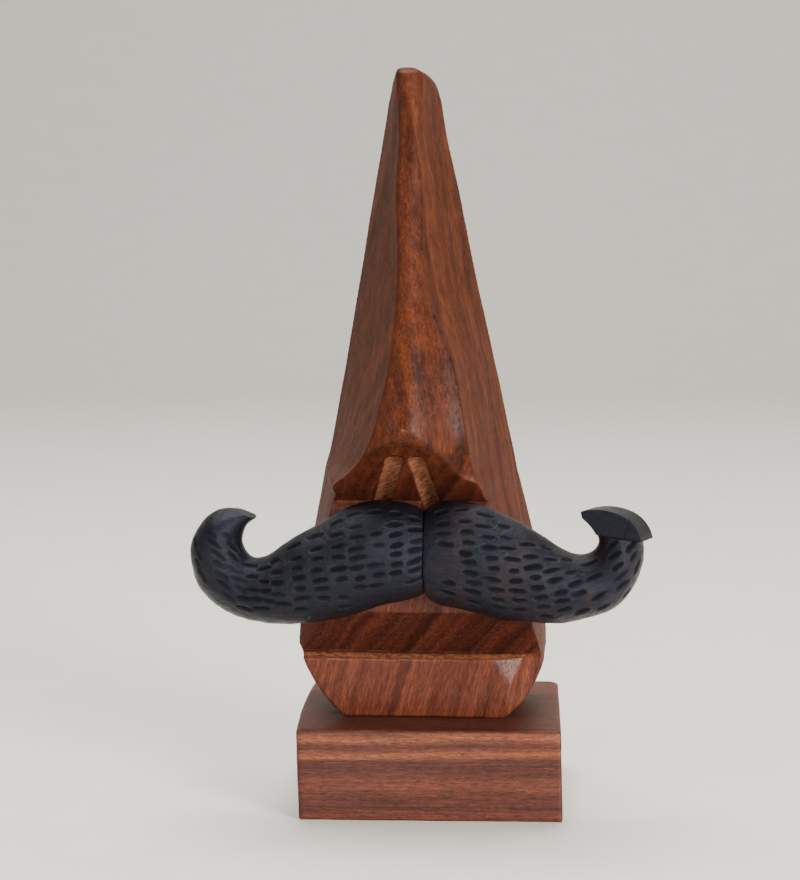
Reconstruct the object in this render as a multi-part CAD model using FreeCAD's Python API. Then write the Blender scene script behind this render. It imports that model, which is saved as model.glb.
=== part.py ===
import FreeCAD, Part
import math
import os

from FreeCAD import Vector

# Wooden display stand for one pair of glasses. A base block carries an upright that is carved as a
# nose, lips and chin, and a black-stained moustache is dowelled and glued across its lip.
# Millimetres, +Z up, front faces -Y, origin on the base's underside, below the carving.

# Base block: hand-cut, so its sides lean a little to the left and its left side is slightly convex
BASE_LEFT = -28.8
BASE_RIGHT = 29.6
BASE_FRONT = -23.0
BASE_BACK = 27.4
BASE_HEIGHT = 20.5
BASE_LEAN = -0.4
BASE_LEFT_BULGE = 0.7
BASE_EDGE = 0.7
BASE_BACK_CORNER = 2.6

# Where the carved upright stands on the base: a little left, turned to the left and leaning left
UPRIGHT_X = -1.5
UPRIGHT_YAW = -2.0
LEAN_PER_MM = 0.024

# Side profile of the upright (depth y, height z)
BACK_Y = 16.0
CHIN_FOOT_Y = -10.6
CHIN_TOP = (-11.3, 33.9)
MOUTH_BOTTOM = (-8.6, 34.7)
MOUTH_SAW_DEPTH = 1.5
MOUTH_SAW_WIDTH = 0.5
LIP_Y = -18.5
LIP_BOTTOM_Z = 45.9
LIP_TOP_Z = 69.6
NOSE_ROOT = (-17.5, 70.4)
NOSE_UNDER_END = (-31.3, 84.2)
NOSE_TIP_MID = (-32.9, 86.2)
NOSE_TIP_END = (-33.7, 88.8)
RIDGE_CLEAR = (-36.0, 100.0)
CROWN_FRONT = (-7.0, 161.0)
CROWN_FRONT_MID = (-2.4, 164.7)
CROWN_TOP = (1.5, 165.5)
CROWN_BACK = (12.0, 164.9)
CROWN_BACK_MID = (15.2, 162.6)
CROWN_FOOT_Z = 155.0

# Front view of the upright (x, height z): narrow foot, rounded cheeks and narrow crown
FOOT_LEFT_X = -17.4
FOOT_RIGHT_X = 18.2
CHEEK_LEFT_MID = (-24.4, 29.2)
CHEEK_LEFT = (-27.8, 39.0)
CHEEK_RIGHT_MID = (24.6, 26.3)
CHEEK_RIGHT = (27.8, 34.0)
CROWN_LEFT = (-4.9, 161.8)
CROWN_LEFT_MID = (-3.6, 164.4)
CROWN_TOP_LEFT_X = -1.7
CROWN_TOP_RIGHT_X = 0.9
CROWN_RIGHT_MID = (3.2, 164.3)
CROWN_RIGHT = (5.3, 161.8)
FLANK_CLEAR_X = 32.0
FLANK_CLEAR_Z = 70.0

# Horizontal sections of the upright. Each row gives the height, how far the back reaches to the left
# and right, and the left front corner, ridge and right front corner as (x, y).
LOWER_SECTIONS = [
    (18.0, 27.8, 27.7, (-27.6, -20.0), (-0.9, -20.6), (27.5, -20.0)),
    (36.0, 28.3, 27.5, (-27.3, -20.0), (-0.9, -20.6), (26.9, -20.0)),
    (46.0, 27.9, 26.4, (-25.3, -20.0), (-0.9, -20.6), (24.6, -20.0)),
    (60.0, 26.3, 24.7, (-20.7, -20.0), (-0.9, -24.0), (20.0, -20.0)),
    (72.0, 23.6, 22.2, (-17.0, -20.0), (-0.9, -33.4), (15.4, -20.0)),
]
UPPER_SECTIONS = [
    LOWER_SECTIONS[-1],
    (75.4, 22.8, 21.5, (-16.1, -22.6), (-0.9, -33.7), (14.4, -22.3)),
    (80.0, 21.6, 20.6, (-11.0, -27.2), (-0.9, -33.9), (13.4, -24.0)),
    (86.7, 20.2, 19.2, (-7.4, -30.5), (-0.9, -33.8), (12.5, -26.6)),
    (94.0, 18.6, 17.9, (-5.4, -29.2), (-0.6, -31.4), (11.3, -25.4)),
    (102.0, 17.0, 16.4, (-3.7, -26.3), (-0.3, -28.0), (9.5, -23.0)),
    (111.0, 15.3, 14.7, (-2.6, -22.5), (-0.3, -23.8), (6.2, -20.4)),
    (119.0, 13.7, 13.1, (-2.1, -18.9), (-0.4, -20.0), (4.0, -17.9)),
    (128.6, 11.8, 11.4, (-2.3, -14.8), (-0.4, -15.8), (3.3, -14.1)),
    (140.0, 9.6, 9.3, (-2.4, -10.2), (0.0, -11.2), (3.0, -10.0)),
    (156.0, 6.5, 6.5, (-2.2, -4.8), (0.3, -5.8), (2.8, -4.8)),
    (170.0, 3.8, 4.1, (-2.0, -0.6), (0.4, -1.6), (2.8, -0.6)),
]
FRONT_BULGE = 0.35
UPPER_DEGREE = 3
# A point outside every section, for the cutting prisms
FAR = 60.0

# Nostrils: two shallow gouged grooves under the nose, each from (x, z) at its top to (x, z) at its foot
NOSTRIL_WIDTH = 3.8
NOSTRIL_DEPTH = 1.4
NOSTRILS = [((-3.1, 80.6), (-7.6, 68.0)), ((1.75, 80.6), (4.3, 68.0))]

# Moustache: a flat back on the lip and a rounded front. Each section runs from its upper or inner
# edge to its lower or outer edge, given as (x, z), and has a thickness off the lip.
SEAM_X = 1.6
SEAM_SECTION = ((SEAM_X, 69.3), (SEAM_X, 51.0), 10.8)
LEFT_SECTIONS = [
    SEAM_SECTION,
    ((-1.2, 70.5), (-0.8, 50.0), 11.9),
    ((-6.4, 71.5), (-5.0, 49.0), 12.8),
    ((-14.7, 69.9), (-13.2, 46.5), 13.2),
    ((-23.2, 65.3), (-22.4, 44.6), 12.6),
    ((-30.2, 60.8), (-30.9, 43.9), 11.6),
    ((-35.3, 58.3), (-38.8, 45.3), 10.8),
    ((-37.9, 59.9), (-45.85, 49.5), 10.4),
    ((-38.7, 62.2), (-49.8, 57.1), 10.0),
    ((-38.2, 64.5), (-48.4, 64.8), 9.2),
    ((-36.9, 66.2), (-43.2, 68.9), 7.6),
    ((-35.5, 67.2), (-38.0, 68.3), 5.4),
]
RIGHT_SECTIONS = [
    SEAM_SECTION,
    ((4.2, 70.8), (4.0, 49.1), 11.7),
    ((9.1, 71.6), (8.0, 47.9), 12.4),
    ((17.8, 69.1), (16.6, 46.0), 12.8),
    ((26.4, 64.4), (26.5, 44.9), 12.4),
    ((33.0, 60.3), (35.2, 45.7), 11.6),
    ((37.1, 60.0), (42.6, 48.4), 10.8),
    ((39.2, 62.1), (47.55, 54.25), 10.4),
    ((39.4, 63.6), (48.9, 59.0), 10.0),
    ((38.7, 65.2), (48.9, 63.6), 9.8),
]
# Shares of a section: half width of its flat back, and how far out and how thick its rounding is
SECTION_BACK = 0.74
SECTION_SIDE_THICKNESS = 0.3
SECTION_SHOULDER = 0.78
SECTION_SHOULDER_THICKNESS = 0.76

# Tip of the right curl: a separate wedge that stands turned on the joint, with its front face flat
TIP_FRONT_Y = -28.3
TIP_BACK_Y = -19.3
TIP_TURN = 0.27
TIP_NOTCH = 0.86
TIP_HEEL = (48.4, 63.6)
TIP_OUTER_MID = (46.7, 67.3)
TIP_BROW = (43.1, 69.8)
TIP_TOP_MID = (39.2, 70.6)
TIP_NIB_TOP = (35.4, 70.2)
TIP_NIB_LOW = (35.7, 68.7)
TIP_UNDER_MID = (37.6, 66.9)

# Fasteners
SCREW_X = 11.0
SCREW_Y = 2.0
SCREW_LENGTH = 40.0
SCREW_SHANK = 4.2
SCREW_ROOT = 2.9
SCREW_PITCH = 2.0
SCREW_HEAD = 8.2
SCREW_RECESS = 0.6
SCREW_THREAD_START = 16.0
SCREW_SLOT = (4.4, 1.0)
SCREW_SLOT_DEPTH = 1.6
SCREW_CLEARANCE = 0.2
# One thread turn, as shares of the pitch: foot of the root, top of the root and the crest
THREAD_ROOT_FOOT = 0.3
THREAD_ROOT_TOP = 0.6
THREAD_CREST = 0.95
DOWEL_DIAMETER = 5.0
DOWEL_LENGTH = 14.0
DOWEL_CHAMFER = 0.5
DOWEL_PLACES = {
    "left_inner": (-6.0, 62.0),
    "left_outer": (-15.5, 59.0),
    "right_inner": (9.0, 62.0),
    "right_outer": (16.5, 58.5),
}
PIN_DIAMETER = 2.4
PIN_LENGTH = 7.0


def on_base(shape):
    """Move a shape from the upright's own frame to its place on the base."""
    placed = shape.copy()
    placed.rotate(Vector(0, 0, 0), Vector(0, 0, 1), UPRIGHT_YAW)
    placed.translate(Vector(UPRIGHT_X, 0, 0))
    return placed


def leaned(x, y, z):
    """A point of the upright, shifted sideways by the lean at its height."""
    return Vector(x - LEAN_PER_MM * (z - BASE_HEIGHT), y, z)


def line(start, end):
    return Part.LineSegment(start, end).toShape()


def arc(start, middle, end):
    return Part.Arc(start, middle, end).toShape()


def prism(edges, direction):
    """A solid from a closed run of edges, pushed along a direction."""
    return Part.Face(Part.Wire(edges)).extrude(direction)


def base_block():
    """Rectangular block with softened edges and one rounder back corner."""
    front_left = Vector(BASE_LEFT, BASE_FRONT, 0)
    front_right = Vector(BASE_RIGHT, BASE_FRONT, 0)
    back_right = Vector(BASE_RIGHT, BASE_BACK, 0)
    back_left = Vector(BASE_LEFT, BASE_BACK, 0)
    left_middle = Vector(BASE_LEFT - BASE_LEFT_BULGE, (BASE_FRONT + BASE_BACK) / 2, 0)
    outline = [
        line(front_left, front_right),
        line(front_right, back_right),
        line(back_right, back_left),
        arc(back_left, left_middle, front_left),
    ]
    block = prism(outline, Vector(BASE_LEAN, 0, BASE_HEIGHT))
    back_corner = [edge for edge in block.Edges if is_back_right_corner(edge)]
    block = block.makeFillet(BASE_BACK_CORNER, back_corner)
    sharp = [edge for edge in block.Edges if is_straight_corner(edge)]
    return block.makeFillet(BASE_EDGE, sharp)


def is_back_right_corner(edge):
    """True for the upright corner at the back right of the block."""
    middle = edge.CenterOfMass
    is_upright = edge.BoundBox.ZLength > BASE_HEIGHT - 0.01
    return is_upright and middle.x > 0 and middle.y > 0


def is_straight_corner(edge):
    """True for the three upright corners that are still sharp and for the edges round the top."""
    box = edge.BoundBox
    is_top = box.ZMin > BASE_HEIGHT - 0.01
    at_front = box.YMax < 0
    at_left = box.XMax < 0
    is_upright = box.ZLength > BASE_HEIGHT - 0.01
    return is_top or (is_upright and (at_front or at_left))


def upright_section(height, reach_left, reach_right, left, ridge, right):
    """Closed horizontal section: flat back, straight sides and a curved front over the ridge."""
    back_left = leaned(-reach_left, BACK_Y, height)
    back_right = leaned(reach_right, BACK_Y, height)
    corner_left = leaned(left[0], left[1], height)
    corner_right = leaned(right[0], right[1], height)
    top = leaned(ridge[0], ridge[1], height)
    bulge = Vector(0, -FRONT_BULGE, 0)
    front = Part.BSplineCurve()
    front.interpolate([
        corner_right, (corner_right + top) * 0.5 + bulge, top, (corner_left + top) * 0.5 + bulge, corner_left,
    ])
    return Part.Wire([
        line(back_left, back_right),
        line(back_right, corner_right),
        front.toShape(),
        line(corner_left, back_left),
    ])


def side_profile():
    """Prism of the nose, lip, mouth and chin seen from the side."""
    saw_z = MOUTH_BOTTOM[1] + MOUTH_SAW_WIDTH
    saw_y = MOUTH_BOTTOM[0] + MOUTH_SAW_DEPTH
    def at(y, z):
        return Vector(-FAR, y, z)

    outline = [
        at(BACK_Y, CROWN_FOOT_Z), at(BACK_Y, BASE_HEIGHT), at(CHIN_FOOT_Y, BASE_HEIGHT), at(*CHIN_TOP),
        at(*MOUTH_BOTTOM), at(saw_y, MOUTH_BOTTOM[1]), at(saw_y, saw_z), at(MOUTH_BOTTOM[0], saw_z),
        at(LIP_Y, LIP_BOTTOM_Z), at(LIP_Y, LIP_TOP_Z), at(*NOSE_ROOT), at(*NOSE_UNDER_END),
    ]
    edges = [line(start, end) for start, end in zip(outline, outline[1:])]
    tip_end = at(*NOSE_TIP_END)
    clear_of_ridge = at(*RIDGE_CLEAR)
    crown_front = at(*CROWN_FRONT)
    crown_top = at(*CROWN_TOP)
    crown_back = at(*CROWN_BACK)
    edges.append(arc(outline[-1], at(*NOSE_TIP_MID), tip_end))
    edges.append(line(tip_end, clear_of_ridge))
    edges.append(line(clear_of_ridge, crown_front))
    edges.append(arc(crown_front, at(*CROWN_FRONT_MID), crown_top))
    edges.append(line(crown_top, crown_back))
    edges.append(arc(crown_back, at(*CROWN_BACK_MID), outline[0]))
    return prism(edges, Vector(2 * FAR, 0, 0))


def front_outline():
    """Prism of the front view: rounded lower corners and the narrow crown."""
    def at(x, z):
        return leaned(x, -FAR, z)

    foot_left = at(FOOT_LEFT_X, BASE_HEIGHT)
    foot_right = at(FOOT_RIGHT_X, BASE_HEIGHT)
    cheek_right = at(*CHEEK_RIGHT)
    cheek_left = at(*CHEEK_LEFT)
    wide_right = at(FLANK_CLEAR_X, FLANK_CLEAR_Z)
    wide_left = at(-FLANK_CLEAR_X, FLANK_CLEAR_Z)
    crown_right = at(*CROWN_RIGHT)
    crown_left = at(*CROWN_LEFT)
    top_right = at(CROWN_TOP_RIGHT_X, CROWN_TOP[1])
    top_left = at(CROWN_TOP_LEFT_X, CROWN_TOP[1])
    edges = [
        line(foot_left, foot_right),
        arc(foot_right, at(*CHEEK_RIGHT_MID), cheek_right),
        line(cheek_right, wide_right),
        line(wide_right, crown_right),
        arc(crown_right, at(*CROWN_RIGHT_MID), top_right),
        line(top_right, top_left),
        arc(top_left, at(*CROWN_LEFT_MID), crown_left),
        line(crown_left, wide_left),
        line(wide_left, cheek_left),
        arc(cheek_left, at(*CHEEK_LEFT_MID), foot_left),
    ]
    return prism(edges, Vector(0, 2 * FAR, 0))


def nostril(top, foot):
    """Round-nosed cutter for one groove, laid along the slope under the nose."""
    half = NOSTRIL_WIDTH / 2
    radius = (half ** 2 + NOSTRIL_DEPTH ** 2) / (2 * NOSTRIL_DEPTH)
    rise = Vector(0, NOSE_UNDER_END[0] - NOSE_ROOT[0], NOSE_UNDER_END[1] - NOSE_ROOT[1])
    outward = Vector(0, -rise.z, rise.y).normalize() * (radius - NOSTRIL_DEPTH)

    def on_slope(x, z):
        share = (z - NOSE_ROOT[1]) / rise.z
        return leaned(x, NOSE_ROOT[0] + share * rise.y, z) + outward

    start = on_slope(*top)
    run = on_slope(*foot) - start
    groove = Part.makeCylinder(radius, run.Length, start, run)
    return groove.fuse(Part.makeSphere(radius, start))


def nose_body():
    """The carved upright, in its own frame: nose, nostrils, lip, mouth and chin."""
    lower = Part.makeLoft([upright_section(*row) for row in LOWER_SECTIONS], True, True)
    upper = Part.makeLoft([upright_section(*row) for row in UPPER_SECTIONS], True, False, False, UPPER_DEGREE)
    body = lower.fuse(upper)
    body = body.common(side_profile())
    body = body.common(front_outline())
    for top, foot in NOSTRILS:
        body = body.cut(nostril(top, foot))
    return body


def moustache_section(inner, outer, thickness):
    """Closed section across the moustache: flat back, full sides and a crowned front."""
    start = Vector(inner[0], LIP_Y, inner[1])
    end = Vector(outer[0], LIP_Y, outer[1])
    middle = (start + end) * 0.5
    half = (end - start) * 0.5
    forward = Vector(0, -thickness, 0)

    def at(across, depth):
        return middle + half * across + forward * depth

    front = Part.BSplineCurve()
    front.interpolate([
        at(-SECTION_BACK, 0), at(-1, SECTION_SIDE_THICKNESS),
        at(-SECTION_SHOULDER, SECTION_SHOULDER_THICKNESS), at(0, 1),
        at(SECTION_SHOULDER, SECTION_SHOULDER_THICKNESS),
        at(1, SECTION_SIDE_THICKNESS), at(SECTION_BACK, 0),
    ])
    back = line(at(SECTION_BACK, 0), at(-SECTION_BACK, 0))
    return Part.Wire([front.toShape(), back])


def moustache_half(sections):
    return Part.makeLoft([moustache_section(*row) for row in sections], True, False)


def moustache_tip():
    """Wedge-shaped end of the right curl, glued on the flat end of the main piece."""
    joint_inner, joint_outer, _ = RIGHT_SECTIONS[-1]
    along = Vector(joint_outer[0] - joint_inner[0], 0, joint_outer[1] - joint_inner[1])

    def at(x, z):
        return Vector(x, TIP_FRONT_Y, z)

    inner = Vector(joint_inner[0], TIP_FRONT_Y, joint_inner[1])
    notch = inner + along * TIP_NOTCH
    heel = at(*TIP_HEEL)
    brow = at(*TIP_BROW)
    nib_top = at(*TIP_NIB_TOP)
    nib_low = at(*TIP_NIB_LOW)
    edges = [
        line(inner, notch),
        line(notch, heel),
        arc(heel, at(*TIP_OUTER_MID), brow),
        arc(brow, at(*TIP_TOP_MID), nib_top),
        line(nib_top, nib_low),
        arc(nib_low, at(*TIP_UNDER_MID), inner),
    ]
    turn = along * TIP_TURN
    return prism(edges, Vector(turn.x, TIP_BACK_Y - TIP_FRONT_Y, turn.z))


def dowel(diameter, length, centre, direction):
    """Round pin with chamfered ends, centred on a point."""
    pin = Part.makeCylinder(diameter / 2, length, centre - direction * (length / 2), direction)
    rims = [edge for edge in pin.Edges if edge.Closed]
    return pin.makeChamfer(DOWEL_CHAMFER, rims)


def tip_pin():
    """Thin pin across the joint between the right half and its tip."""
    inner, outer, thickness = RIGHT_SECTIONS[-1]
    centre = Vector((inner[0] + outer[0]) / 2, LIP_Y - thickness * 0.5, (inner[1] + outer[1]) / 2)
    along = Vector(outer[0] - inner[0], 0, outer[1] - inner[1])
    across = Vector(-along.z, 0, along.x).normalize()
    return dowel(PIN_DIAMETER, PIN_LENGTH, centre, across)


def base_screw(x):
    """Countersunk wood screw, point up: cross-slotted head, shank, thread turns and point."""
    head_z = SCREW_RECESS
    neck_z = head_z + (SCREW_HEAD - SCREW_SHANK) / 2
    thread_z = head_z + SCREW_THREAD_START
    point_z = head_z + SCREW_LENGTH
    crest = SCREW_SHANK / 2
    root = SCREW_ROOT / 2
    profile = [(0, head_z), (SCREW_HEAD / 2, head_z), (crest, neck_z), (crest, thread_z)]
    turns = int((point_z - thread_z - 2 * SCREW_PITCH) / SCREW_PITCH)
    for turn in range(turns):
        foot = thread_z + turn * SCREW_PITCH
        profile.append((root, foot + THREAD_ROOT_FOOT * SCREW_PITCH))
        profile.append((root, foot + THREAD_ROOT_TOP * SCREW_PITCH))
        profile.append((crest, foot + THREAD_CREST * SCREW_PITCH))
    profile.append((root, thread_z + (turns + THREAD_ROOT_FOOT) * SCREW_PITCH))
    profile.append((0, point_z))
    points = [Vector(radius, 0, z) for radius, z in profile]
    points.append(points[0])
    screw = Part.Face(Part.makePolygon(points)).revolve(Vector(0, 0, 0), Vector(0, 0, 1), 360)
    for length, width in (SCREW_SLOT, SCREW_SLOT[::-1]):
        corner = Vector(-length / 2, -width / 2, 0)
        screw = screw.cut(Part.makeBox(length, width, head_z + SCREW_SLOT_DEPTH, corner))
    screw.translate(Vector(x, SCREW_Y, 0))
    return screw


def screw_hole(x):
    """Clearance hole through the base with its countersink."""
    place = Vector(x, SCREW_Y, 0)
    shank_radius = SCREW_SHANK / 2 + SCREW_CLEARANCE
    sink_radius = SCREW_HEAD / 2 + SCREW_CLEARANCE + SCREW_RECESS
    shank = Part.makeCylinder(shank_radius, BASE_HEIGHT, place)
    sink = Part.makeCone(sink_radius, shank_radius, sink_radius - shank_radius, place)
    return shank.fuse(sink)


def build():
    """All pieces in place, by node name."""
    base = base_block()
    upright = on_base(nose_body())
    left = on_base(moustache_half(LEFT_SECTIONS))
    right = on_base(moustache_half(RIGHT_SECTIONS))
    tip = on_base(moustache_tip())
    pin = on_base(tip_pin())
    right = right.cut(pin)
    tip = tip.cut(pin)
    pieces = {}
    for name, x in (("left", -SCREW_X), ("right", SCREW_X)):
        screw = base_screw(x)
        base = base.cut(screw_hole(x))
        upright = upright.cut(screw)
        pieces["base_screw_" + name] = screw
    for place, (x, z) in DOWEL_PLACES.items():
        peg = on_base(dowel(DOWEL_DIAMETER, DOWEL_LENGTH, Vector(x, LIP_Y, z), Vector(0, -1, 0)))
        upright = upright.cut(peg)
        left = left.cut(peg)
        right = right.cut(peg)
        pieces["moustache_dowel_" + place] = peg
    pieces["base_block"] = base
    pieces["nose_body"] = upright
    pieces["moustache_left"] = left
    pieces["moustache_right"] = right
    pieces["moustache_right_tip"] = tip
    pieces["moustache_tip_pin"] = pin
    return pieces


os.makedirs("parts", exist_ok=True)
for node, solid in build().items():
    solid.exportStep("parts/" + node + ".step")
    box = solid.BoundBox
    print(node, solid.isValid(), len(solid.Solids), round(solid.Volume, 1),
          [round(v, 1) for v in (box.XMin, box.XMax, box.YMin, box.YMax, box.ZMin, box.ZMax)])
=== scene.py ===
import math
import random

import bmesh
import bpy
import numpy as np
from mathutils import Matrix, Vector, noise
from mathutils.bvhtree import BVHTree
from mathutils.kdtree import KDTree


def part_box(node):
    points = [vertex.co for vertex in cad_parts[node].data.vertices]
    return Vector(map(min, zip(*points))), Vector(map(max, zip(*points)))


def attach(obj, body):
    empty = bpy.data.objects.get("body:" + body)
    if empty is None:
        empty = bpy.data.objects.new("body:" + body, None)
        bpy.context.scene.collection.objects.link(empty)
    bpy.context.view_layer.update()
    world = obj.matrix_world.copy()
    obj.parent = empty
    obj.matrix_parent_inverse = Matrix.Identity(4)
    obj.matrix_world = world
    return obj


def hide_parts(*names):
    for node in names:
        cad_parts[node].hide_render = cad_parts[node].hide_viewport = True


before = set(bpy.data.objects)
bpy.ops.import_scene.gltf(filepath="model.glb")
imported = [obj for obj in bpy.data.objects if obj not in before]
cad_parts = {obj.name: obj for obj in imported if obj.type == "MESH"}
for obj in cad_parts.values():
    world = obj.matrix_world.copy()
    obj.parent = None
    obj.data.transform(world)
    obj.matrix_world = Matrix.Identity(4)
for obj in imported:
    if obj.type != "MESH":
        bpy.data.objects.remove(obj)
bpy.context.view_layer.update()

MM = 0.001
BODY = "root"

# Where the carved upright stands on the base, and how it leans, in millimetres and degrees
UPRIGHT_X = -1.5
UPRIGHT_YAW = -2.0
LEAN_PER_MM = 0.024
BASE_HEIGHT = 20.5

# Depth of the moustache's front, and a depth in front of the whole stand
MOUSTACHE_Y = -27.0
IN_FRONT_Y = -60.0

# Mesh detail in millimetres, and the most triangles a piece may keep
UPRIGHT_VOXEL = 0.30
BASE_VOXEL = 0.42
MOUSTACHE_VOXEL = 0.20
TIP_VOXEL = 0.14
MOST_TRIANGLES = 185000

# Camera: where it stands and how it points, in metres and degrees
CAMERA_AT = Vector((20.6, -526.0, 145.6)) * MM
CAMERA_YAW = -3.017
CAMERA_PITCH = -6.89
CAMERA_ROLL = -0.24
CAMERA_LENS = 105.525
SENSOR_WIDTH = 36.0


# ---------------------------------------------------------------- meshes

def coordinates(mesh):
    """Vertex positions of a mesh as an n by 3 array."""
    flat = np.empty(len(mesh.vertices) * 3)
    mesh.vertices.foreach_get("co", flat)
    return flat.reshape(-1, 3)


def normals(mesh):
    """Vertex normals of a mesh as an n by 3 array."""
    flat = np.empty(len(mesh.vertices) * 3)
    mesh.vertex_normals.foreach_get("vector", flat)
    return flat.reshape(-1, 3)


def move_vertices(mesh, points):
    mesh.vertices.foreach_set("co", points.ravel())
    mesh.update()


def apply_modifiers(piece):
    """Replace the piece's mesh with its modified shape."""
    bpy.context.view_layer.update()
    shaped = piece.evaluated_get(bpy.context.evaluated_depsgraph_get())
    mesh = bpy.data.meshes.new_from_object(shaped)
    piece.modifiers.clear()
    piece.data = mesh
    for face in mesh.polygons:
        face.use_smooth = True


def fine_copy(node, name, voxel, smoothing):
    """A new piece with a node's shape, in small even faces and with its edges eased."""
    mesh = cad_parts[node].data.copy()
    mesh.materials.clear()
    work = bmesh.new()
    work.from_mesh(mesh)
    bmesh.ops.remove_doubles(work, verts=work.verts, dist=0.002 * MM)
    work.to_mesh(mesh)
    work.free()
    piece = bpy.data.objects.new(name, mesh)
    bpy.context.scene.collection.objects.link(piece)
    remesh = piece.modifiers.new("remesh", "REMESH")
    remesh.mode = "VOXEL"
    remesh.voxel_size = voxel * MM
    remesh.adaptivity = 0.0
    ease = piece.modifiers.new("ease", "SMOOTH")
    ease.factor = 0.5
    ease.iterations = smoothing
    apply_modifiers(piece)
    return piece


def thin_out(piece):
    """Merge faces where the surface is flat, down to the allowed number of triangles."""
    triangles = sum(len(face.vertices) - 2 for face in piece.data.polygons)
    if triangles > MOST_TRIANGLES:
        fewer = piece.modifiers.new("fewer", "DECIMATE")
        fewer.ratio = MOST_TRIANGLES / triangles
        apply_modifiers(piece)


def undulate(mesh, size, height, seed):
    """The slight waviness of a surface that was shaped and sanded by hand. Sizes in millimetres."""
    points = coordinates(mesh)
    directions = normals(mesh)
    shift = Vector((seed * 7.3, seed * 3.1, seed * 5.7))
    waves = np.array([noise.noise(Vector(point) / (size * MM) + shift) for point in points])
    move_vertices(mesh, points + directions * (waves * height * MM)[:, None])


def write_attribute(mesh, name, values):
    """Store one number per vertex for the materials to read."""
    layer = mesh.attributes.new(name, "FLOAT", "POINT")
    layer.data.foreach_set("value", values)


def to_upright(points):
    """World positions in metres as positions in the upright's own frame, in millimetres."""
    turn = math.radians(UPRIGHT_YAW)
    x = points[:, 0] / MM - UPRIGHT_X
    y = points[:, 1] / MM
    z = points[:, 2] / MM
    along = x * math.cos(turn) + y * math.sin(turn)
    depth = y * math.cos(turn) - x * math.sin(turn)
    return along + LEAN_PER_MM * (z - BASE_HEIGHT), depth, z


def from_moustache(x, z):
    """A place in front of the moustache, in metres, from millimetres in the moustache's own frame."""
    turn = math.radians(UPRIGHT_YAW)
    return Vector((UPRIGHT_X + x * math.cos(turn) - MOUSTACHE_Y * math.sin(turn), IN_FRONT_Y, z)) * MM


# Facing of the steepest surface that still takes a mark: 0 is edge-on from the front, -1 faces it
STEEPEST_SEEN = -0.22


class Carver:
    """Cuts gouge marks into a fine mesh and keeps how deep each vertex was cut. Sizes in metres."""

    def __init__(self, mesh):
        self.mesh = mesh
        self.points = coordinates(mesh)
        self.base = self.points.copy()
        faces = [face.vertices[:] for face in mesh.polygons]
        self.tree = BVHTree.FromPolygons([vertex.co for vertex in mesh.vertices], faces)
        self.near = KDTree(len(self.points))
        for index, point in enumerate(self.points):
            self.near.insert(point, index)
        self.near.balance()
        self.ragged = np.array([noise.noise(Vector(point) / (0.8 * MM)) for point in self.points])
        self.depth = np.zeros(len(self.points))

    def seen(self, place):
        """The surface point and its facing, straight behind a place in front, if it can be seen."""
        hit, facing, _, _ = self.tree.ray_cast(place, Vector((0, 1, 0)))
        if hit is None or facing.y > STEEPEST_SEEN:
            return None
        return hit, facing

    def mark(self, hit, outward, along, length, width, depth):
        """One scoop at a surface point, running along a direction, steep at its upper side."""
        run = (along - outward * along.dot(outward)).normalized()
        side = outward.cross(run)
        if side.z < 0:
            side.negate()
        found = [index for _, index, _ in self.near.find_range(hit, length * 0.62)]
        offset = self.base[found] - np.array(hit)
        u = offset @ np.array(run) / (length / 2)
        v = offset @ np.array(side) / (width / 2)
        height = offset @ np.array(outward)
        room = np.clip(1 - np.abs(u) ** 2.8 - np.abs(v) ** 2.2 + 0.28 * self.ragged[found], 0, 1)
        shape = room ** 0.48 * np.clip(0.72 + 0.28 * v, 0, 1)
        cut = np.where(np.abs(height) < width, shape * depth, 0)
        deeper = cut > self.depth[found]
        chosen = np.array(found)[deeper]
        self.depth[chosen] = cut[deeper]
        self.points[chosen] = self.base[chosen] - np.array(outward) * cut[deeper][:, None]

    def finish(self, deepest):
        """Write the cut mesh, and each vertex's depth as the attribute carve, 0 to 1."""
        move_vertices(self.mesh, self.points)
        write_attribute(self.mesh, "carve", np.clip(self.depth / deepest, 0, 1))


# ---------------------------------------------------------------- moustache

# Gouge marks, in millimetres: spacing of the columns and of the marks in a column, and one mark
COLUMN_PITCH = 4.5
HOOK_PITCH = 3.3
ROW_PITCH = 2.2
MARK_LENGTH = 3.9
MARK_WIDTH = 1.35
MARK_DEPTH = 0.50

# Heights between which the moustache's upper and lower edges are looked for
SCAN_STEP = 0.25
TOP_Z = 76.0
BOTTOM_Z = 40.0

# Where a column of marks begins and ends, off the upper and lower edge
FIRST_MARK_DROP = 0.9
LAST_MARK_RISE = 0.8

# The left curl, where the marks are longer and shallower, and its smooth top
CURL_X = -37.5
CURL_STRETCH = 1.15
CURL_DEPTH = 0.62
CURL_TOP_X = -36
CURL_TOP_Z = 65.5

# Smooth parts: the low belly and the wood beside the seam, as shares of the way down
LEFT_BELLY = 0.80
RIGHT_BELLY = 0.92
SEAM_SIDE_X = 7.5
SEAM_SIDE_TOP = 0.26
SEAM_SIDE_FOOT = 0.80


def lean_of(x, stops):
    """A value that changes evenly between the stops, given as (x, value)."""
    return float(np.interp(x, [stop[0] for stop in stops], [stop[1] for stop in stops]))


# How the marks run on each half: angle in degrees, rising to the right, and how far a column of
# marks drifts to the right for each millimetre down
LEFT_ANGLE = [(-47, -40), (-41, -34), (-36, -6), (-31, 3), (-20, 9), (-2, 8)]
LEFT_DRIFT = [(-34, 0.24), (-16, 0.10), (0, -0.02)]
RIGHT_ANGLE = [(4, -3), (12, -6), (20, -1), (27, 9), (35, 22), (44, 36)]
RIGHT_DRIFT = [(2, 0.05), (30, 0.28)]


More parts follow.
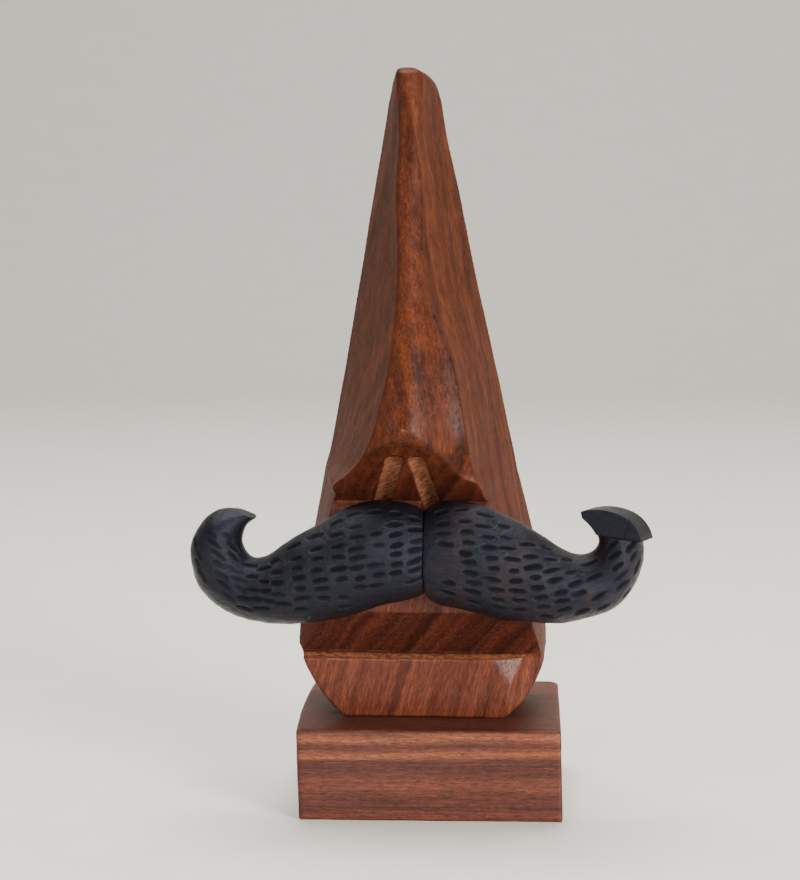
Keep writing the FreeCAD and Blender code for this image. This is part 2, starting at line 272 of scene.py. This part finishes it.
def carve_columns(carver, columns, angle, drift, is_bare, draw):
    """Stack short gouge marks in columns, each from the upper edge of the moustache downwards."""
    for column in columns:
        scan = np.arange(TOP_Z, BOTTOM_Z, -SCAN_STEP)
        heights = [z for z in scan if carver.seen(from_moustache(column, z))]
        if not heights:
            continue
        top = heights[0]
        bottom = heights[-1]
        z = top - FIRST_MARK_DROP - draw.uniform(0, 0.7)
        while z > bottom + LAST_MARK_RISE:
            x = column + lean_of(column, drift) * (top - z) + draw.gauss(0, 0.22)
            spot = carver.seen(from_moustache(x, z + draw.gauss(0, 0.12)))
            share = (top - z) / (top - bottom)
            if spot and not is_bare(x, z, share, draw):
                slope = math.radians(lean_of(x, angle) + draw.gauss(0, 3.5))
                run = Vector((math.cos(slope), 0, math.sin(slope)))
                in_curl = x < CURL_X
                length = MARK_LENGTH * draw.uniform(0.66, 1.12) * (CURL_STRETCH if in_curl else 1.0)
                depth = MARK_DEPTH * draw.uniform(0.70, 1.0) * (CURL_DEPTH if in_curl else 1.0)
                width = MARK_WIDTH * draw.uniform(0.80, 1.12)
                carver.mark(*spot, run, length * MM, width * MM, depth * MM)
            z -= ROW_PITCH * draw.uniform(0.93, 1.07)


def left_is_bare(x, z, share, draw):
    """The low belly and the top of the left curl are left smooth."""
    if x < CURL_TOP_X and z > CURL_TOP_Z:
        return True
    if x > CURL_TOP_X and share > LEFT_BELLY:
        return draw.random() < 0.9
    return draw.random() < 0.07


def right_is_bare(x, z, share, draw):
    """The wood beside the seam and the low belly are left smooth."""
    if x < SEAM_SIDE_X and SEAM_SIDE_TOP < share < SEAM_SIDE_FOOT:
        return draw.random() < 0.85
    if share > RIGHT_BELLY:
        return True
    return draw.random() < 0.05


def moustache_half(node, columns, angle, drift, is_bare, seed):
    """One half of the moustache, slightly uneven and covered with gouge marks."""
    piece = fine_copy(node, node + "_carved", MOUSTACHE_VOXEL, 6)
    undulate(piece.data, 6.0, 0.30, seed)
    undulate(piece.data, 2.2, 0.10, seed + 20)
    undulate(piece.data, 0.9, 0.05, seed + 40)
    thin_out(piece)
    carver = Carver(piece.data)
    carve_columns(carver, columns, angle, drift, is_bare, random.Random(seed))
    carver.finish(MARK_DEPTH * MM)
    return piece


# Chisel strokes on the separate tip, on the part of it that faces the front
TIP_STROKES = 11
TIP_FRONT_FACING = -0.6


def moustache_tip():
    """The separate tip, with straight chisel strokes that slant across its flat front."""
    piece = fine_copy("moustache_right_tip", "moustache_right_tip_carved", TIP_VOXEL, 4)
    draw = random.Random(5)
    low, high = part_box("moustache_right_tip")
    carver = Carver(piece.data)
    for stroke in range(TIP_STROKES):
        x = low[0] + (high[0] - low[0]) * (stroke + draw.uniform(0.1, 0.9)) / TIP_STROKES
        z = (low[2] + high[2]) / 2 + draw.uniform(-0.5, 0.9) * MM
        spot = carver.seen(Vector((x, IN_FRONT_Y * MM, z)))
        if spot and spot[1].y < TIP_FRONT_FACING:
            slant = Vector((0.42 + draw.uniform(-0.1, 0.1), 0, 1))
            carver.mark(*spot, slant, draw.uniform(5, 7) * MM, 0.9 * MM, draw.uniform(0.04, 0.13) * MM)
    carver.finish(MARK_DEPTH * MM)
    return piece


# ---------------------------------------------------------------- upright and base

# The plane under the nose, where depth + height is constant, and the grooves cut into it
UNDER_NOSE_SUM = 52.9
GROOVE_TOP_Z = 81.5
GROOVE_FOOT_Z = 67.0
GROOVE_MIN = 0.16
GROOVE_FULL = 0.42
GROOVE_MAX = 1.8
GROOVE_REACH = 5.3
GROOVE_SPREAD = 0.36

# The crown above this height is sanded rounder
CROWN_Z = 158.5

# The end of the nose: the edge between its front and underside is rounded and polished here
TIP_EDGE_Z = 86.6
TIP_REACH = 3.6
TIP_HALF_WIDTH = 8.5
TIP_BACK_Y = -29.0

# Where a facing down gets the full painted shade, and from where to where as edge-on to the front
DOWNWARD_SHADE_FULL = 0.55
EDGE_ON_FROM = 0.6
EDGE_ON_RANGE = 0.3

# A facet at the right of the chin's front turns back, most at its top, as far as a slanting line
KERF_Z = 34.95
LEDGE_Z = 34.3
CHIN_FRONT_Y = -11.0
CHIN_CORE_Y = -2.0
CHIN_FACET_X = 14.5
CHIN_TURN = 0.37
CHIN_TILT = 0.25
CHIN_EDGE_TURN = 0.45
CHIN_EASE = 0.35
CHIN_LINE_X = 23.2
CHIN_LINE_SLANT = 0.53
CHIN_TOP_Z = 34.0


def shape_chin(mesh):
    """Turn the right of the chin's front back, and turn it further past the slanting line."""
    points = coordinates(mesh)
    x, y, z = to_upright(points)
    line_x = CHIN_LINE_X + CHIN_LINE_SLANT * (z - CHIN_TOP_Z)
    facet = CHIN_TURN * (x - CHIN_FACET_X) - CHIN_TILT * (CHIN_TOP_Z - z)
    facet = facet + CHIN_EDGE_TURN * np.clip(x - line_x, 0, None)
    bend = np.logaddexp(0, facet / CHIN_EASE) * CHIN_EASE
    outer = np.clip((CHIN_CORE_Y - y) / (CHIN_CORE_Y - CHIN_FRONT_Y), 0, 1)
    points[:, 1] += np.where(z < KERF_Z, bend * outer, 0) * MM
    move_vertices(mesh, points)


def soften(piece, chosen, passes):
    """Sand the chosen vertices rounder than the rest."""
    group = piece.vertex_groups.new(name="softened")
    group.add([int(index) for index in np.flatnonzero(chosen)], 1.0, "REPLACE")
    ease = piece.modifiers.new("ease", "SMOOTH")
    ease.factor = 0.5
    ease.iterations = passes
    ease.vertex_group = group.name
    apply_modifiers(piece)
    piece.vertex_groups.clear()


def upright():
    """The carved nose, lip and chin, with the attributes that its material reads."""
    piece = fine_copy("nose_body", "nose_body_carved", UPRIGHT_VOXEL, 2)
    shape_chin(piece.data)
    x, y, z = to_upright(coordinates(piece.data))
    soften(piece, z > CROWN_Z, 60)
    x, y, z = to_upright(coordinates(piece.data))
    at_edge = np.abs(z - TIP_EDGE_Z) < TIP_REACH
    soften(piece, (np.abs(x) < TIP_HALF_WIDTH) & (y < TIP_BACK_Y) & at_edge, 26)
    undulate(piece.data, 13.0, 0.26, 3)
    undulate(piece.data, 4.0, 0.05, 23)
    thin_out(piece)
    x, y, z = to_upright(coordinates(piece.data))
    inward = (y + z - UNDER_NOSE_SUM) / math.sqrt(2)
    reach = GROOVE_REACH + GROOVE_SPREAD * (GROOVE_TOP_Z - z)
    beside = (np.abs(x) < reach) & (z > GROOVE_FOOT_Z) & (z < GROOVE_TOP_Z) & (inward < GROOVE_MAX)
    deep = np.clip((inward - GROOVE_MIN) / (GROOVE_FULL - GROOVE_MIN), 0, 1)
    write_attribute(piece.data, "groove", np.where(beside, deep, 0))
    facing = normals(piece.data)
    # Painted shade: how much each vertex faces down, for the material to colour it darker
    write_attribute(piece.data, "downward", np.clip(-facing[:, 2] / DOWNWARD_SHADE_FULL, 0, 1))
    edge_on = np.maximum(np.abs(facing[:, 0]), facing[:, 2])
    write_attribute(piece.data, "flank", np.clip((edge_on - EDGE_ON_FROM) / EDGE_ON_RANGE, 0, 1))
    return piece


def base():
    """The base block with slightly uneven faces."""
    piece = fine_copy("base_block", "base_block_finished", BASE_VOXEL, 2)
    undulate(piece.data, 16.0, 0.14, 4)
    undulate(piece.data, 3.0, 0.04, 24)
    return piece


# ---------------------------------------------------------------- materials

class Nodes:
    """Short calls for building one material's node tree."""

    def __init__(self, name):
        self.material = bpy.data.materials.new(name)
        self.material.use_nodes = True
        self.tree = self.material.node_tree
        self.shader = self.tree.nodes["Principled BSDF"]

    def add(self, kind, inputs=None, **settings):
        node = self.tree.nodes.new("ShaderNode" + kind)
        for key, value in settings.items():
            setattr(node, key, value)
        for key, value in (inputs or {}).items():
            self.put(node.inputs[key], value)
        return node

    def put(self, socket, value):
        """Link a socket, or set its value."""
        if isinstance(value, bpy.types.NodeSocket):
            self.tree.links.new(value, socket)
        else:
            socket.default_value = value

    def math(self, operation, *values):
        node = self.add("Math", operation=operation)
        for socket, value in zip(node.inputs, values):
            self.put(socket, value)
        return node.outputs[0]

    def millimetres(self, seed=0.0):
        """The position on the stand in millimetres, with an optional shift for a different pattern."""
        place = self.add("TexCoord").outputs["Object"]
        return self.scaled(place, (1000, 1000, 1000), (seed, seed * 2, seed * 3))

    def scaled(self, vector, scale, move=(0, 0, 0)):
        return self.add("Mapping", {"Vector": vector, "Scale": scale, "Location": move}).outputs[0]

    def noise(self, vector, scale, detail=3.0, roughness=0.5):
        texture = self.add("TexNoise", {"Vector": self.scaled(vector, scale), "Scale": 1.0,
                                        "Detail": detail, "Roughness": roughness})
        return texture.outputs[0]

    def line_noise(self, value, detail=3.0, roughness=0.5):
        """Noise along one value only, such as the layers of a board."""
        texture = self.add("TexNoise", {"W": value, "Scale": 1.0, "Detail": detail, "Roughness": roughness},
                           noise_dimensions="1D")
        return texture.outputs[0]

    def ramp(self, value, stops):
        node = self.add("ValToRGB", {"Fac": value})
        elements = node.color_ramp.elements
        while len(elements) < len(stops):
            elements.new(0.5)
        for element, (position, color) in zip(elements, stops):
            element.position = position
            element.color = (*color, 1)
        return node.outputs[0]

    def spread(self, value, low, high, to_low=0.0, to_high=1.0):
        """Map a value from one range to another, clamped."""
        node = self.add("MapRange", {"Value": value, "From Min": low, "From Max": high,
                                     "To Min": to_low, "To Max": to_high})
        return node.outputs[0]

    def bell(self, value, centre, width):
        """1 at the centre, falling smoothly to 0 at a width to either side."""
        away = self.math("ABSOLUTE", self.math("SUBTRACT", value, centre))
        node = self.add("MapRange", {"Value": away, "From Min": 0.0, "From Max": width,
                                     "To Min": 1.0, "To Max": 0.0}, interpolation_type="SMOOTHSTEP")
        return node.outputs[0]

    def sum(self, *parts):
        """Weighted sum of (weight, value) pairs."""
        total = None
        for weight, value in parts:
            term = self.math("MULTIPLY", value, weight)
            total = term if total is None else self.math("ADD", total, term)
        return total

    def mix(self, share, first, second, blend="MIX"):
        node = self.add("Mix", data_type="RGBA", blend_type=blend)
        self.put(node.inputs["Factor"], share)
        self.put(node.inputs[6], first if isinstance(first, bpy.types.NodeSocket) else (*first, 1))
        self.put(node.inputs[7], second if isinstance(second, bpy.types.NodeSocket) else (*second, 1))
        return node.outputs[2]

    def grey(self, value):
        return self.add("CombineColor", {0: value, 1: value, 2: value}).outputs[0]

    def finish(self, color, roughness, height, strength, distance):
        """Connect colour, roughness and a fine surface relief of a distance in millimetres."""
        self.put(self.shader.inputs["Base Color"], color)
        self.put(self.shader.inputs["Roughness"], roughness)
        bump = self.add("Bump", {"Height": height, "Strength": strength, "Distance": distance * MM})
        self.put(self.shader.inputs["Normal"], bump.outputs[0])
        return self.material


# Varnished sheesham from its darkest to its lightest layers
DARK = (0.024, 0.006, 0.0038)
BROWN = (0.070, 0.0175, 0.0095)
RED_BROWN = (0.120, 0.032, 0.0155)
ORANGE = (0.215, 0.068, 0.023)
# Tone of the chin's top ledge: sawn wood, made lighter as painted light
SAWN_AND_LIT = (0.300, 0.110, 0.045)
TAN = (0.178, 0.073, 0.034)
PORE = (0.010, 0.003, 0.002)
WOOD_TONES = [(0.08, DARK), (0.36, BROWN), (0.62, RED_BROWN), (0.95, ORANGE)]

# Streaks in the base: how much lighter or darker, height and half width in millimetres
BASE_STREAKS = [(0.40, 15.0, 1.7), (0.34, 18.9, 1.6), (0.16, 8.2, 2.2), (-0.14, 11.5, 2.4), (-0.14, 3.6, 2.6)]

# The nose's own tones, more orange
NOSE_TONES = [(0.00, (0.020, 0.0042, 0.0016)), (0.40, (0.066, 0.0150, 0.0045)),
              (0.85, (0.132, 0.0330, 0.0072))]


def base_wood():
    """The base: flat layers of the board that run along X, two of them orange, near the top."""
    nodes = Nodes("sheesham_base")
    mm = nodes.millimetres()
    axes = nodes.add("SeparateXYZ", {0: mm}).outputs
    wander = nodes.noise(mm, (0.022, 0.05, 0.12), 3.0)
    layer = nodes.sum((1.0, axes[2]), (-0.010, axes[0]), (0.06, axes[1]), (2.4, wander))
    fibre = nodes.noise(mm, (0.05, 1.7, 2.1), 6.0, 0.65)
    fine = nodes.noise(mm, (0.55, 2.8, 3.3), 5.0, 0.80)
    layers = nodes.line_noise(nodes.math("MULTIPLY", layer, 0.42), 4.0, 0.6)
    pores = nodes.spread(nodes.noise(mm, (0.62, 3.0, 3.4), 3.0, 0.6), 0.575, 0.66)
    rise = nodes.math("ADD", axes[2], nodes.math("MULTIPLY", axes[0], -0.010))
    wavy = nodes.math("ADD", rise, nodes.spread(wander, 0.2, 0.8, -0.9, 0.9))
    streaks = nodes.sum(*((tint, nodes.bell(wavy, z, half)) for tint, z, half in BASE_STREAKS))
    tone = nodes.sum((0.30, nodes.spread(layers, 0.25, 0.75)), (0.46, nodes.spread(fibre, 0.25, 0.75)),
                     (1.0, streaks))
    color = nodes.ramp(tone, WOOD_TONES)
    color = nodes.mix(1.0, color, nodes.grey(nodes.spread(fine, 0.30, 0.70, 0.30, 1.68)), "MULTIPLY")
    color = nodes.mix(nodes.math("MULTIPLY", pores, 0.60), color, PORE)
    gloss = nodes.spread(nodes.math("ADD", fibre, pores), 0.3, 1.2, 0.42, 0.56)
    height = nodes.math("SUBTRACT", nodes.math("MULTIPLY", fine, 0.6), pores)
    nodes.shader.inputs["IOR"].default_value = 1.38
    nodes.shader.inputs["Specular IOR Level"].default_value = 0.35
    return nodes.finish(color, gloss, height, 0.30, 0.05)


def upright_wood():
    """The upright: grain along Z that slants on the chin, mottled figure on the nose, tan grooves; painted
    shade facing down and in the kerf, painted light on the ledge.
    """
    nodes = Nodes("sheesham_upright")
    mm = nodes.millimetres()
    axes = nodes.add("SeparateXYZ", {0: mm}).outputs
    below_lip = nodes.math("MINIMUM", nodes.math("SUBTRACT", axes[2], 50.0), 0.0)
    straight = nodes.sum((1.0, axes[0]), (-0.30, below_lip), (0.022, axes[2]))
    grain = nodes.add("CombineXYZ", {0: straight, 1: axes[1], 2: axes[2]}).outputs[0]
    wander = nodes.noise(grain, (0.07, 0.07, 0.016), 3.0)
    layer = nodes.sum((0.27, straight), (0.15, axes[1]), (2.2, wander))
    layers = nodes.line_noise(layer, 3.0, 0.55)
    fibre = nodes.noise(grain, (1.8, 1.8, 0.055), 6.0, 0.62)
    fine = nodes.noise(grain, (2.9, 2.9, 0.42), 5.0, 0.80)
    mottle = nodes.noise(grain, (0.42, 0.42, 0.20), 4.0, 0.62)
    pores = nodes.spread(nodes.noise(grain, (3.2, 3.2, 0.62), 3.0, 0.6), 0.575, 0.66)
    on_nose = nodes.spread(axes[2], 70.0, 82.0)
    at_front = nodes.spread(axes[1], -5.0, -7.5)
    on_chin = nodes.math("MULTIPLY", nodes.spread(axes[2], 34.9, 34.0), at_front)
    # Painted shade: the wood is coloured darker where it faces down, as under the nose and on the lip
    downward = nodes.add("Attribute", attribute_name="downward").outputs["Fac"]
    tone = nodes.sum((0.40, nodes.spread(layers, 0.28, 0.72)), (0.32, nodes.spread(fibre, 0.25, 0.75)),
                     (0.10, on_chin), (-0.16, downward))
    figure = nodes.math("MULTIPLY", on_nose, nodes.spread(mottle, 0.3, 0.7, -0.20, 0.20))
    tone = nodes.math("ADD", tone, figure)
    knot = nodes.math("MULTIPLY", nodes.bell(axes[2], 98.0, 12.0), nodes.bell(axes[0], 0.0, 6.0))
    speckle = nodes.spread(nodes.noise(grain, (0.55, 0.55, 0.33), 4.0, 0.7), 0.42, 0.60)
    knot = nodes.math("MULTIPLY", knot, speckle)
    tone = nodes.math("SUBTRACT", tone, nodes.math("MULTIPLY", knot, 0.28))
    color = nodes.mix(on_nose, nodes.ramp(tone, WOOD_TONES), nodes.ramp(tone, NOSE_TONES))
    color = nodes.mix(1.0, color, nodes.grey(nodes.spread(fine, 0.30, 0.70, 0.36, 1.60)), "MULTIPLY")
    color = nodes.mix(nodes.math("MULTIPLY", pores, 0.55), color, PORE)
    # Lighter strip on the chin's top ledge: partly the sawn wood's own tone, partly painted light on this
    # up-facing ledge
    lit_ledge = nodes.math("MULTIPLY", nodes.bell(axes[2], LEDGE_Z, 0.55), at_front)
    cut_ends = nodes.noise(mm, (0.9, 0.9, 2.0), 4.0, 0.7)
    color = nodes.mix(nodes.math("MULTIPLY", lit_ledge, nodes.spread(cut_ends, 0.36, 0.60)), color, SAWN_AND_LIT)
    # Painted shade: a dark line along the saw kerf under the lip, a cut too narrow for the mesh to shade
    kerf_shade = nodes.math("MULTIPLY", nodes.bell(axes[2], KERF_Z, 0.33), at_front)
    color = nodes.mix(nodes.math("MULTIPLY", kerf_shade, 0.85), color, PORE)
    groove = nodes.add("Attribute", attribute_name="groove").outputs["Fac"]
    slanted = nodes.math("ADD", axes[2], nodes.math("MULTIPLY", axes[0], -0.6))
    torn = nodes.add("CombineXYZ", {0: axes[0], 1: axes[1], 2: slanted}).outputs[0]
    torn = nodes.noise(torn, (0.55, 0.55, 1.9), 3.0, 0.6)
    tan = nodes.mix(nodes.spread(torn, 0.35, 0.68), BROWN, TAN)
    color = nodes.mix(groove, color, tan)
    gloss = nodes.spread(nodes.math("ADD", fibre, pores), 0.3, 1.2, 0.40, 0.54)
    tip = nodes.math("MULTIPLY", nodes.bell(axes[2], 88.4, 3.4), nodes.bell(axes[0], -6.4, 5.5))
    flank = nodes.add("Attribute", attribute_name="flank").outputs["Fac"]
    gloss = nodes.math("ADD", gloss, nodes.sum((0.30, groove), (0.18, flank), (-0.28, tip), (-0.18, on_chin)))
    height = nodes.math("SUBTRACT", nodes.math("MULTIPLY", fine, 0.6), pores)
    height = nodes.math("ADD", height, nodes.math("MULTIPLY", nodes.math("MULTIPLY", groove, torn), 5.0))
    nodes.shader.inputs["IOR"].default_value = 1.36
    nodes.shader.inputs["Specular IOR Level"].default_value = 0.20
    return nodes.finish(color, gloss, height, 0.32, 0.05)


def stain(name, wear, seed, specular=0.30):
    """Black-stained, waxed wood: painted shade in the gouge marks, with worn brown on the high spots."""
    nodes = Nodes(name)
    mm = nodes.millimetres(seed)
    carve = nodes.add("Attribute", attribute_name="carve").outputs["Fac"]
    fibre = nodes.noise(mm, (0.45, 2.6, 2.6), 6.0, 0.72)
    cloud = nodes.noise(mm, (0.16, 0.16, 0.16), 3.0)
    black = nodes.ramp(fibre, [(0.3, (0.0020, 0.0021, 0.0033)), (0.75, (0.0068, 0.0070, 0.0108))])
    rubbed = nodes.math("MULTIPLY", nodes.spread(nodes.math("MULTIPLY", fibre, cloud), 0.22, 0.38), wear)
    black = nodes.mix(rubbed, black, (0.034, 0.0125, 0.0090))
    # Painted shade: the gouge marks are coloured near black, the more the deeper they are cut
    color = nodes.mix(nodes.spread(carve, 0.03, 0.40), black, (0.0008, 0.0008, 0.0011))
    worn = nodes.math("ADD", carve, nodes.math("MULTIPLY", cloud, 0.3))
    gloss = nodes.spread(worn, 0.1, 0.8, 0.27, 0.88)
    nodes.shader.inputs["IOR"].default_value = 1.38
    nodes.shader.inputs["Specular IOR Level"].default_value = specular
    nodes.shader.inputs["Specular Tint"].default_value = (0.72, 0.80, 1.0, 1)
    return nodes.finish(color, gloss, fibre, 0.75, 0.26)


def plain_wood(name):
    """Pale dowel wood with a faint straight grain."""
    nodes = Nodes(name)
    grain = nodes.noise(nodes.millimetres(), (2.2, 0.09, 2.2), 5.0, 0.6)
    color = nodes.ramp(grain, [(0.3, (0.42, 0.28, 0.15)), (0.7, (0.66, 0.48, 0.29))])
    return nodes.finish(color, nodes.spread(grain, 0.3, 0.7, 0.5, 0.65), grain, 0.3, 0.05)


def zinc(name):
    """Bright zinc plate with fine turning lines and a little dulling."""
    nodes = Nodes(name)
    mm = nodes.millimetres()
    lines = nodes.noise(mm, (0.9, 0.9, 9.0), 3.0, 0.6)
    dull = nodes.noise(mm, (0.7, 0.7, 0.7), 4.0)
    color = nodes.ramp(dull, [(0.3, (0.48, 0.48, 0.45)), (0.7, (0.68, 0.68, 0.66))])
    nodes.shader.inputs["Metallic"].default_value = 1.0
    return nodes.finish(color, nodes.spread(dull, 0.3, 0.7, 0.24, 0.42), lines, 0.2, 0.03)


def pale_floor():
    """Matt off-white paper with a faint unevenness."""
    nodes = Nodes("pale_floor")
    speckle = nodes.noise(nodes.millimetres(), (0.06, 0.06, 0.06), 4.0)
    color = nodes.ramp(speckle, [(0.3, (0.77, 0.735, 0.665)), (0.7, (0.80, 0.765, 0.695))])
    return nodes.finish(color, 0.5, speckle, 0.05, 0.2)


# ---------------------------------------------------------------- pieces

def place_piece(piece, node, material):
    """Give a piece its material and let it stand for its CAD node."""
    piece.data.materials.append(material)
    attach(piece, BODY)
    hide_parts(node)


def repaint(prefix, material):
    """A better material on the CAD nodes whose names begin with a prefix."""
    for name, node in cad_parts.items():
        if name.startswith(prefix):
            node.data.materials.clear()
            node.data.materials.append(material)


# ---------------------------------------------------------------- studio

def sweep():
    """Pale floor that curves up into a pale wall behind the stand."""
    half_width = 3.0
    wall = 0.9
    bend = 0.6
    steps = 16
    profile = [(-2.5, 0.0), (wall, 0.0)]
    for step in range(1, steps + 1):
        angle = math.pi / 2 * step / steps
        profile.append((wall + bend * math.sin(angle), bend * (1 - math.cos(angle))))
    profile.append((wall + bend, 3.0))
    mesh = bpy.data.meshes.new("sweep")
    vertices = [(x, y, z) for y, z in profile for x in (-half_width, half_width)]
    faces = [(2 * i, 2 * i + 1, 2 * i + 3, 2 * i + 2) for i in range(len(profile) - 1)]
    mesh.from_pydata(vertices, [], faces)
    for face in mesh.polygons:
        face.use_smooth = True
    floor = bpy.data.objects.new("sweep", mesh)
    bpy.context.scene.collection.objects.link(floor)
    floor.data.materials.append(pale_floor())


# Name, place, size in metres, power in watts and colour of each softbox
LIGHTS = [
    ("key", (0.76, -0.86, 0.37), (0.42, 0.55), 26, (1, 0.975, 0.95)),
    ("front", (-0.16, -1.04, 0.13), (0.14, 0.14), 4.0, (1, 0.99, 0.98)),
    ("fill", (-0.85, -0.65, 0.45), (0.7, 0.7), 3.0, (0.93, 0.96, 1)),
    ("top", (-0.05, 0.15, 1.0), (0.7, 0.6), 18, (1, 0.985, 0.965)),
]
LIGHT_TARGET = (0, 0, 0.08)


def softbox(name, at, size, power, color):
    """An area light that points at the stand."""
    light = bpy.data.lights.new(name, "AREA")
    light.shape = "RECTANGLE"
    light.size, light.size_y = size
    light.energy = power
    light.color = color
    lamp = bpy.data.objects.new(name, light)
    lamp.location = at
    lamp.rotation_euler = (Vector(LIGHT_TARGET) - Vector(at)).to_track_quat("-Z", "Y").to_euler()
    bpy.context.scene.collection.objects.link(lamp)


def studio():
    """Soft lights and a dim, nearly white surrounding."""
    world = bpy.data.worlds.new("studio")
    world.use_nodes = True
    background = world.node_tree.nodes["Background"]
    background.inputs["Color"].default_value = (0.95, 0.97, 1.0, 1)
    background.inputs["Strength"].default_value = 0.24
    bpy.context.scene.world = world
    for light in LIGHTS:
        softbox(*light)


def camera():
    """The camera, built from its place, angles and lens."""
    yaw, pitch, roll = (math.radians(angle) for angle in (CAMERA_YAW, CAMERA_PITCH, CAMERA_ROLL))
    forward = Vector((math.sin(yaw) * math.cos(pitch), math.cos(yaw) * math.cos(pitch), math.sin(pitch)))
    level = Vector((math.cos(yaw), -math.sin(yaw), 0))
    upward = level.cross(forward)
    right = level * math.cos(roll) + upward * math.sin(roll)
    up = upward * math.cos(roll) - level * math.sin(roll)
    lens = bpy.data.cameras.new("camera")
    lens.sensor_fit = "HORIZONTAL"
    lens.sensor_width = SENSOR_WIDTH
    lens.lens = CAMERA_LENS
    eye = bpy.data.objects.new("camera", lens)
    bpy.context.scene.collection.objects.link(eye)
    turn = Matrix((right, up, -forward)).transposed()
    eye.matrix_world = Matrix.Translation(CAMERA_AT) @ turn.to_4x4()
    bpy.context.scene.camera = eye


# ---------------------------------------------------------------- the stand

camera()
studio()
sweep()

left_columns = [*np.arange(0.3, -36.0, -COLUMN_PITCH), *np.arange(-38.6, -51.0, -HOOK_PITCH)]
right_columns = np.arange(5.6, 47.0, COLUMN_PITCH)
left = moustache_half("moustache_left", left_columns, LEFT_ANGLE, LEFT_DRIFT, left_is_bare, 11)
right = moustache_half("moustache_right", right_columns, RIGHT_ANGLE, RIGHT_DRIFT, right_is_bare, 12)
place_piece(base(), "base_block", base_wood())
place_piece(upright(), "nose_body", upright_wood())
place_piece(left, "moustache_left", stain("black_stain", 0.10, 3.0))
place_piece(right, "moustache_right", stain("black_stain_worn", 0.42, 8.0))
tip_stain = stain("black_stain_tip", 0.05, 5.0, 0.15)
place_piece(moustache_tip(), "moustache_right_tip", tip_stain)
repaint("moustache_dowel", plain_wood("birch_dowel"))
repaint("moustache_tip_pin", plain_wood("birch_pin"))
repaint("base_screw", zinc("zinc_steel"))
